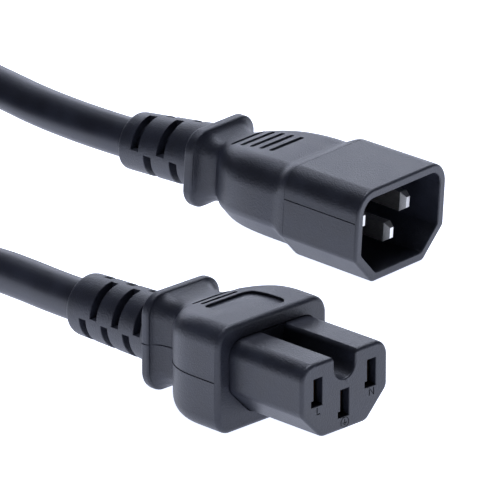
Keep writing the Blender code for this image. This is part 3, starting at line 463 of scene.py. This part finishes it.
def relief_cuts(front, rear, radii, start, step, count, first, width):
    """Sector slots of the sleeve, in planes that start and step forward from its rear end:
    one above and one below the parting plane on opposite sides. With first at 1 the -Y side
    is cut above in the first plane, at -1 below, and each next plane is the other way."""
    bm = bmesh.new()
    begin_angle, sector, flare = math.radians(2.5), math.radians(84), 0.14
    for index in range(count):
        x = rear.x + start + step * index
        share = (x - front.x) / (rear.x - front.x)
        level = front.lerp(rear, share).z
        surface = radii[0] + (radii[1] - radii[0]) * share
        wall_line = [(width / 2, bore_radius - 0.05), (width / 2, surface - flare),
                     (width / 2 + flare, surface + 0.02), (width / 2 + flare, surface + 1.0)]
        profile = [(x - at, radius) for at, radius in wall_line]
        profile += [(x + at, radius) for at, radius in reversed(wall_line)]
        flip = -first if index % 2 else first
        for side, over in ((-1, flip), (1, -flip)):
            sense = side * over
            begin = (0.0 if side > 0 else math.pi) + sense * begin_angle
            verts = [bm.verts.new((at, radius * math.cos(begin),
                                   level + radius * math.sin(begin))) for at, radius in profile]
            face = bm.faces.new(verts)
            bmesh.ops.spin(bm, geom=[face] + verts + list(face.edges), cent=(0, 0, level),
                           axis=(1, 0, 0), angle=sense * sector, steps=16,
                           use_duplicate=False)
    bmesh.ops.recalc_face_normals(bm, faces=bm.faces)
    return bm


def add_groove(bm, x, surface, length, width, depth):
    """Round-ended groove across the top: a ball stretched to the groove's length."""
    made = bmesh.ops.create_uvsphere(bm, u_segments=20, v_segments=12, radius=width / 2)["verts"]
    bmesh.ops.scale(bm, vec=(1.0, 1.0, 2 * depth / width), verts=made)
    for vert in made:
        if abs(vert.co.y) > 0.0001:
            vert.co.y += math.copysign(length / 2 - width / 2, vert.co.y)
    bmesh.ops.translate(bm, vec=(x, 0, surface), verts=made)


joint_gap, joint_flat, ramp_steps = 0.02, 0.25, 6
body_x, body_length = -22.2, 19.3
plug_body = (26.4, 8.75, -8.8, 5.6, 5.7, 0.9)
plug_neck = (13.0, 6.5, -6.7, 3.6, 2.4, 1.1)
plug_flange = (19.6, 8.2, -8.2, 4.4, 2.7, 1.5)
# how long the sides, top and bottom stay full before they close on the neck
plug_fullness = (3.1, 2.1, 7.6)
neck_length, flange_length, relief_length = 3.9, 2.3, 20.4
relief_radii = (7.05, 6.05)
groove_count, first_groove, groove_pitch = 5, 7.3, 2.45

step_x = -shroud_length - joint_gap
ramp_x = step_x - joint_flat
neck_x = body_x - body_length
flange_x = neck_x - neck_length
flange_rear = flange_x - flange_length
relief_front = Vector((flange_x, 0, 0.45))
relief_rear = Vector((flange_rear - relief_length, 0, -1.9))

bm = bmesh.new()
loops = [loop_at(bm, step_x, body_corners(shroud, -shroud_draft))]
for step in range(ramp_steps):
    eased = ease(step / ramp_steps)
    section = tuple(a + (b - a) * eased for a, b in zip(shroud, plug_body))
    loops.append(loop_at(bm, ramp_x + (body_x - ramp_x) * step / ramp_steps,
                         body_corners(section, (eased - 1) * shroud_draft)))
loops += body_loops(bm, body_x, body_length, plug_body, plug_neck, plug_fullness)
loops += flange_loops(bm, plug_neck, plug_flange, neck_x, flange_x, flange_rear, flare=3.6)
skin_loops(bm, loops)
soften_crease(bm, neck_x)
grooves = bmesh.new()
for index in range(groove_count):
    reach = first_groove + groove_pitch * index
    surface = closing(plug_body, plug_neck, plug_fullness, reach / body_length)[1]
    add_groove(grooves, body_x - reach, surface, length=10.3, width=1.15, depth=0.75)
slots = relief_cuts(relief_front, relief_rear, relief_radii,
                    start=4.6, step=3.5, count=4, first=1, width=1.95)
bm = combine(bm, ("UNION", relief_sleeve(relief_front, relief_rear, relief_radii)),
             ("DIFFERENCE", bore_cut(relief_front, relief_rear, depth=24.0)),
             ("DIFFERENCE", slots), ("DIFFERENCE", grooves))

# soft PVC from a spark-eroded mould: a satin skin whose fine grain is drawn 0.3 mm wide so
# that it shows, with patches of slightly different gloss; a little lighter than the hard parts
soft_plastic = grainy("moulded_soft_pvc", "#1c1e27", "#262934", patch_mm=5.0, grain_mm=0.3,
                      relief_mm=0.14, roughness=0.42)
finish("plug_body", bm, plug_place, soft_plastic, "plug_overmould")


# Nose: hard PVC block with the three contact chambers, a keying groove in its top and cut
# lower corners. The soft housing is moulded round its root.
def key_corners(grow):
    """Corners of the keying groove: open above, edges eased outwards, floor almost round."""
    half, bottom = half_key + grow, key_floor - grow
    edge_level, open_level, spread = nose_top + 0.03, nose_top + 0.3, 3.0
    return [(-half - spread, open_level, 0, 1), (half + spread, open_level, 0, 1),
            (half, edge_level, key_edge, 6), (half, bottom, half * 0.98, 12),
            (-half, bottom, half * 0.98, 12), (-half, edge_level, key_edge, 6)]


def slot_corners(across, height, wide, tall):
    """Corners of an upright rectangle round a point of the nose's face."""
    return [(across + side * wide / 2, height + over * tall / 2, 0, 1)
            for side, over in ((-1, 1), (1, 1), (1, -1), (-1, -1))]


connector_level = 10.7
connector_place = Matrix.Translation((0, 0, connector_level * MM))
front_x, face_x, root_x = 2.5, 21.1, -6.0
nose_width, nose_top, face_edge = 22.6, 7.5, 0.75
nose = (nose_width, nose_top, -nose_top, 3.2, 5.45, 0.8)
half_key, key_floor, key_edge = 2.75, 2.55, 1.1
half_spacing = 7.0
slot_places = ((-half_spacing, 1.8), (half_spacing, 1.8), (0.0, -2.2))
slot_width, slot_height, slot_lip = 2.3, 5.4, 1.5
notch_width, notch_height = 1.4, 1.3
chamber_width, chamber_height = 3.8, 6.2

bm = bmesh.new()
skin_loops(bm, [loop_at(bm, face_x, body_corners(nose)), loop_at(bm, root_x, body_corners(nose))])
bmesh.ops.bevel(bm, geom=end_edges(bm, face_x), offset=face_edge, segments=6, profile=0.5,
                affect="EDGES", material=-1)
key = bmesh.new()
skin_loops(key, [loop_at(key, x, key_corners(grow)) for x, grow in (
    (front_x + 0.02, 0.0), (face_x - 0.45, 0.0), (face_x - 0.15, 0.1), (face_x, 0.3),
    (face_x + 1.0, 1.2))])
chambers = bmesh.new()
notches = bmesh.new()
for across, height in slot_places:
    skin_loops(chambers, [
        loop_at(chambers, x, slot_corners(across, height, wide, tall)) for x, wide, tall in (
            (face_x + 1.0, slot_width + 0.6, slot_height + 0.6),
            (face_x, slot_width + 0.2, slot_height + 0.2),
            (face_x - 0.12, slot_width, slot_height),
            (face_x - slot_lip, slot_width, slot_height),
            (face_x - slot_lip, chamber_width, chamber_height),
            (root_x - 1.0, chamber_width, chamber_height))])
    made = bmesh.ops.create_cube(notches, size=1.0)["verts"]
    bmesh.ops.scale(notches, vec=(slot_lip + 1.0, notch_width, notch_height), verts=made)
    bmesh.ops.translate(notches, verts=made, vec=(
        face_x - slot_lip / 2 + 0.4, across - slot_width / 2,
        height - slot_height / 2 + notch_height / 2))
bm = combine(bm, ("DIFFERENCE", key), ("DIFFERENCE", chambers), ("DIFFERENCE", notches))

# L, N and the earth sign in its ring, each engraved 0.2 mm deep below its slot
mark_depth, letter_size, letter_level = 0.2, 2.1, -2.0
sign_level, sign_radius, sign_line = -6.05, 1.1, 0.2
marks = bmesh.new()
for letter, across in (("L", -half_spacing), ("N", half_spacing)):
    text = bpy.data.curves.new(f"mark_{letter}", "FONT")
    text.body = letter
    text.size = letter_size
    text.extrude = mark_depth
    text.offset = 0.03
    text.align_x = "CENTER"
    text.align_y = "CENTER"
    holder = bpy.data.objects.new(f"mark_{letter}", text)
    bpy.context.scene.collection.objects.link(holder)
    shape = holder.evaluated_get(bpy.context.evaluated_depsgraph_get())
    mesh = bpy.data.meshes.new_from_object(shape)
    mesh.transform(Matrix(((0, 0, 1, face_x), (1, 0, 0, across), (0, 1, 0, letter_level),
                           (0, 0, 0, 1))))
    marks.from_mesh(mesh)
    bpy.data.meshes.remove(mesh)
    bpy.data.objects.remove(holder)
    bpy.data.curves.remove(text)
bmesh.ops.remove_doubles(marks, verts=marks.verts, dist=0.001)
made = bmesh.ops.create_circle(marks, segments=40, radius=sign_radius, cap_ends=True, matrix=(
    Matrix.Translation((face_x + mark_depth, 0, sign_level))
    @ Matrix.Rotation(math.pi / 2, 4, "Y")))["verts"]
disc = [face for face in marks.faces if all(vert in made for vert in face.verts)]
ring = bmesh.ops.inset_region(marks, faces=disc, thickness=sign_line, use_boundary=True,
                              use_even_offset=True)["faces"]
bmesh.ops.delete(marks, geom=disc, context="FACES")
grown = bmesh.ops.extrude_face_region(marks, geom=ring, use_keep_orig=True)["geom"]
bmesh.ops.translate(marks, vec=(-2 * mark_depth, 0, 0),
                    verts=[item for item in grown if isinstance(item, bmesh.types.BMVert)])
for height, wide, tall in ((0.31, 0.2, 0.64), (-0.11, 1.1, 0.18), (-0.42, 0.6, 0.16)):
    made = bmesh.ops.create_cube(marks, size=1.0)["verts"]
    bmesh.ops.scale(marks, vec=(2 * mark_depth, wide, tall), verts=made)
    bmesh.ops.translate(marks, vec=(face_x, 0, sign_level + height), verts=made)
bmesh.ops.recalc_face_normals(marks, faces=marks.faces)
bm = combine(bm, ("DIFFERENCE", marks))
finish("nose", bm, connector_place, carrier_plastic,
       "connector_nose")


# Connector housing: soft PVC moulded over the nose's root and the cord, with a bare sunk
# panel and two grip grooves on top, a waist, a flange and a slotted sleeve.
def roof(x):
    """Level of the housing's top at x."""
    share = max(0.0, (shoulder_x - x) / shoulder_length)
    return closing(housing, connector_neck, housing_fullness, share)[1]


def slice_at(bm, places):
    """Cuts new edges across a shape at each x."""
    for x in places:
        bmesh.ops.bisect_plane(bm, geom=bm.verts[:] + bm.edges[:] + bm.faces[:],
                               plane_no=(1, 0, 0), plane_co=(x, 0, 0))


housing = (28.7, 10.6, -10.6, 3.9, 2.1, 1.2)
connector_neck = (14.4, 8.5, -8.5, 4.0, 2.5, 1.1)
connector_flange = (19.1, 9.5, -10.0, 4.0, 2.6, 1.5)
housing_fullness = (3.1, 1.8, 3.3)
housing_edge, nose_gap = 1.0, 0.1
shoulder_x, shoulder_length = -2.5, 13.1
neck_length, flange_length, relief_length = 5.2, 2.0, 24.1
relief_radii = (6.8, 6.15)
panel_front, panel_length, panel_width, panel_corner = front_x - 2.2, 10.3, 12.2, 1.6
panel_depth, lip, panel_slices = 0.55, 0.1, 12
groove_count, first_groove, groove_pitch = 2, 1.6, 2.2

panel_rear = panel_front - panel_length
neck_x = shoulder_x - shoulder_length
flange_x = neck_x - neck_length
flange_rear = flange_x - flange_length
relief_front = Vector((flange_x, 0, -0.85))
relief_rear = Vector((flange_rear - relief_length, 0, -1.2))

bm = bmesh.new()
loops = [loop_at(bm, front_x, body_corners(housing))]
loops += body_loops(bm, shoulder_x, shoulder_length, housing, connector_neck, housing_fullness)
loops += flange_loops(bm, connector_neck, connector_flange, neck_x, flange_x, flange_rear,
                      flare=4.3)
skin_loops(bm, loops)
soften_crease(bm, neck_x)
bmesh.ops.bevel(bm, geom=end_edges(bm, front_x), offset=housing_edge, segments=6, profile=0.5,
                affect="EDGES", material=-1)
parting_line(bm, height=0.0, first_x=flange_rear + 0.01, last_x=front_x - 0.9)
pocket = bmesh.new()
skin_loops(pocket, [loop_at(pocket, x, body_corners(nose, grow)) for x, grow in (
    (root_x - nose_gap, nose_gap), (front_x - 0.12, nose_gap), (front_x, nose_gap + 0.1),
    (front_x + 1.0, nose_gap + 0.5))])

# the panel and the grooves, modelled from the level of the top and lifted onto it
top_cuts = bmesh.new()
skin_loops(top_cuts, [loop_at(top_cuts, height, [
    (side * (panel_width / 2 + grow), -(panel_front + grow) if fore else grow - panel_rear,
     panel_corner, 6)
    for side, fore in ((-1, True), (1, True), (1, False), (-1, False))])
    for height, grow in ((-panel_depth, 0.0), (-lip, 0.0), (0.0, lip), (1.0, lip + 0.3))])
top_cuts.transform(Matrix.Rotation(-math.pi / 2, 4, "Y"))
slice_at(top_cuts, [panel_front - panel_length * step / panel_slices
                    for step in range(1, panel_slices)])
for vert in top_cuts.verts:
    vert.co.z += roof(vert.co.x)
for index in range(groove_count):
    x = panel_rear - first_groove - groove_pitch * index
    width, top, _, radius, *_ = closing(housing, connector_neck, housing_fullness,
                                        (shoulder_x - x) / shoulder_length)
    add_groove(top_cuts, x, top, length=min(9.4, width - 2 * radius), width=1.1, depth=0.8)
slots = relief_cuts(relief_front, relief_rear, relief_radii,
                    start=4.75, step=3.02, count=6, first=-1, width=1.8)
bm = combine(bm, ("UNION", relief_sleeve(relief_front, relief_rear, relief_radii)),
             ("DIFFERENCE", pocket),
             ("DIFFERENCE", bore_cut(relief_front, relief_rear, depth=27.0)),
             ("DIFFERENCE", slots), ("DIFFERENCE", top_cuts))
finish("connector_housing", bm, connector_place, soft_plastic,
       "connector_overmould")

# Cord: three cores in an extruded PVC jacket of 8.4 mm. It runs out of each bend relief
# and the slack lies behind in one flat coil, three turns wide and two turns high.
cord_diameter = 8.4
CORD = cord_diameter * MM
coil_centre = Vector((-178.5, 10.8, 0.0)) * MM
coil_lift, middle_turn, climb_bow = 1.3, 45.85, 3.0
coil_floor = (coil_lift + cord_diameter / 2) * MM
outer_turn = (middle_turn + cord_diameter) * MM
join_from, join_to = -62.0, 92.0
cross_start, cross_length = 0.45, 0.25
turns = 5 + (join_from - join_to + 360) / 360
coil_points = 100
connector_route = [(-19, 0, 9.5), (-28, 0, 9.5), (-38, 0, 9.5), (-47, 0, 9.5), (-56, 0, 9.5),
                   (-65, 0.2, 9.6), (-73, 0, 9.6), (-80.9, -1.4, 9.2), (-88.7, -4.2, 8.4),
                   (-96.3, -7.6, 7.5), (-103.8, -11.1, 6.8), (-111.2, -14.9, 6.1),
                   (-118.5, -18.8, 5.6), (-125.8, -22.8, 5.5), (-139.4, -30, 5.5)]
plug_route = [(-165, 65.7, 13.9), (-149.6, 66.2, 13.9), (-139.7, 65.7, 13.4),
              (-129.7, 64.7, 13.05), (-119.8, 64.4, 12.75), (-111, 64.9, 12.4),
              (-101.9, 65.9, 12.1), (-95.8, 66.4, 12.2), (-89.8, 67, 12.3), (-79.5, 68, 12.4)]


def turn_place(at):
    """Point of the coil after that many turns: each layer steps one cord's width at the
    same corner, and the third turn, bowed inwards, climbs from the lower layer to the
    upper one."""
    whole = math.floor(at)
    share = min(max((at - whole - cross_start) / cross_length, 0.0), 1.0)
    bow = 0.0
    if whole < 2:
        inward, layer = whole + ease(share), 0.0
    elif whole == 2:
        inward, layer = 2.0, ease(share)
        bow = climb_bow * MM * math.sin(math.pi * share)
    else:
        inward, layer = max(0.0, 5.0 - whole - ease(share)), 1.0
    radius = outer_turn - CORD * inward - bow
    angle = math.radians(join_from - 360 * at)
    return coil_centre + Vector((math.cos(angle) * radius, math.sin(angle) * radius,
                                 coil_floor + CORD * layer))


points = [Vector(point) * MM for point in connector_route]
points += [turn_place(turns * step / coil_points) for step in range(coil_points + 1)]
points += [Vector(point) * MM for point in plug_route]
curve = bpy.data.curves.new("mains_cord", "CURVE")
curve.dimensions = "3D"
curve.bevel_depth = CORD / 2
curve.bevel_resolution = 8
curve.resolution_u = 6
curve.use_fill_caps = True
spline = curve.splines.new("BEZIER")
spline.bezier_points.add(len(points) - 1)
for knot, point in zip(spline.bezier_points, points):
    knot.co = point
    knot.handle_left_type = knot.handle_right_type = "AUTO"
cord = bpy.data.objects.new("mains_cord", curve)
bpy.context.scene.collection.objects.link(cord)

# extruded PVC: a satin skin, smoother than the moulded parts, with slightly uneven gloss
jacket = grainy("extruded_pvc_jacket", "#1b1d27", "#252833", patch_mm=6.0, grain_mm=0.3,
                relief_mm=0.03, roughness=0.4)
curve.materials.append(jacket)
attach(cord, "root")
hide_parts("connector_lead", "cord_coil", "plug_lead", "connector_cord_end",
            "plug_cord_end")

# Tie: a woven nylon strap wrapped once round the turns of the coil, its end held by hook
# and loop on the side that lies down. It lies on the cord.
strap_angle, strap_radius, strap_width, strap_slices = math.radians(150), 46.0, 10.0, 8
strap_inside, strap_outside, strap_edge = 0.3, 1.3, 0.3
half_stack = 3 * cord_diameter / 2

bm = bmesh.new()
loops = [loop_at(bm, at * strap_width, [
    (side * (half_stack + grow), over * (cord_diameter + grow), cord_diameter / 2 + grow, 12)
    for side, over in ((-1, -1), (1, -1), (1, 1), (-1, 1))])
    for at, grow in ((-0.5, strap_inside), (-0.5, strap_outside - strap_edge),
                     (-0.47, strap_outside), (0.47, strap_outside),
                     (0.5, strap_outside - strap_edge), (0.5, strap_inside))]
for near, far in zip(loops, loops[1:] + loops[:1]):
    bmesh.ops.bridge_loops(bm, edges=near + far)
slice_at(bm, [(step / strap_slices - 0.5) * strap_width for step in range(1, strap_slices)])
bmesh.ops.recalc_face_normals(bm, faces=bm.faces)
strap_place = (Matrix.Translation(coil_centre) @ Matrix.Rotation(strap_angle, 4, "Z")
               @ Matrix.Translation(Vector((strap_radius, 0, coil_lift + cord_diameter)) * MM)
               @ Matrix.Rotation(math.pi / 2, 4, "Z"))

# nylon webbing: dull black, ribs of the weave about 1 mm apart across the strap and its
# yarns 0.75 mm apart along it, which catch the light as small bumps
rib_scale, yarn_scale = 0.31 / MM, 0.42 / MM
webbing, tree, shader = new_material("woven_nylon_webbing")
place = add_node(tree, "ShaderNodeTexCoord", {})
turn = add_node(tree, "ShaderNodeMapping", {"Rotation": (0, 0, -strap_angle)},
                [("Vector", place.outputs["Object"])])
ribs = add_node(tree, "ShaderNodeTexWave", {"Scale": rib_scale, "Distortion": 0.6,
                                            "bands_direction": "X"},
                [("Vector", turn.outputs["Vector"])])
yarns = add_node(tree, "ShaderNodeTexWave", {"Scale": yarn_scale, "Distortion": 0.8,
                                             "bands_direction": "Y"},
                 [("Vector", turn.outputs["Vector"])])
weave = add_node(tree, "ShaderNodeMath", {"operation": "MULTIPLY"},
                 [(0, ribs.outputs["Fac"]), (1, yarns.outputs["Fac"])])
tone = add_node(tree, "ShaderNodeValToRGB", {}, [("Fac", weave.outputs[0])])
tone.color_ramp.elements[0].color = linear("#131417")
tone.color_ramp.elements[1].color = linear("#2c2e33")
tree.links.new(tone.outputs["Color"], shader.inputs["Base Color"])
bump = add_node(tree, "ShaderNodeBump", {"Strength": 0.8, "Distance": 0.15 * MM},
                [("Height", weave.outputs[0])])
tree.links.new(bump.outputs["Normal"], shader.inputs["Normal"])
shader.inputs["Roughness"].default_value = 0.85
shader.inputs["Sheen Weight"].default_value = 0.2
strap = finish("coil_strap", bm, strap_place, webbing, "coil_tie")
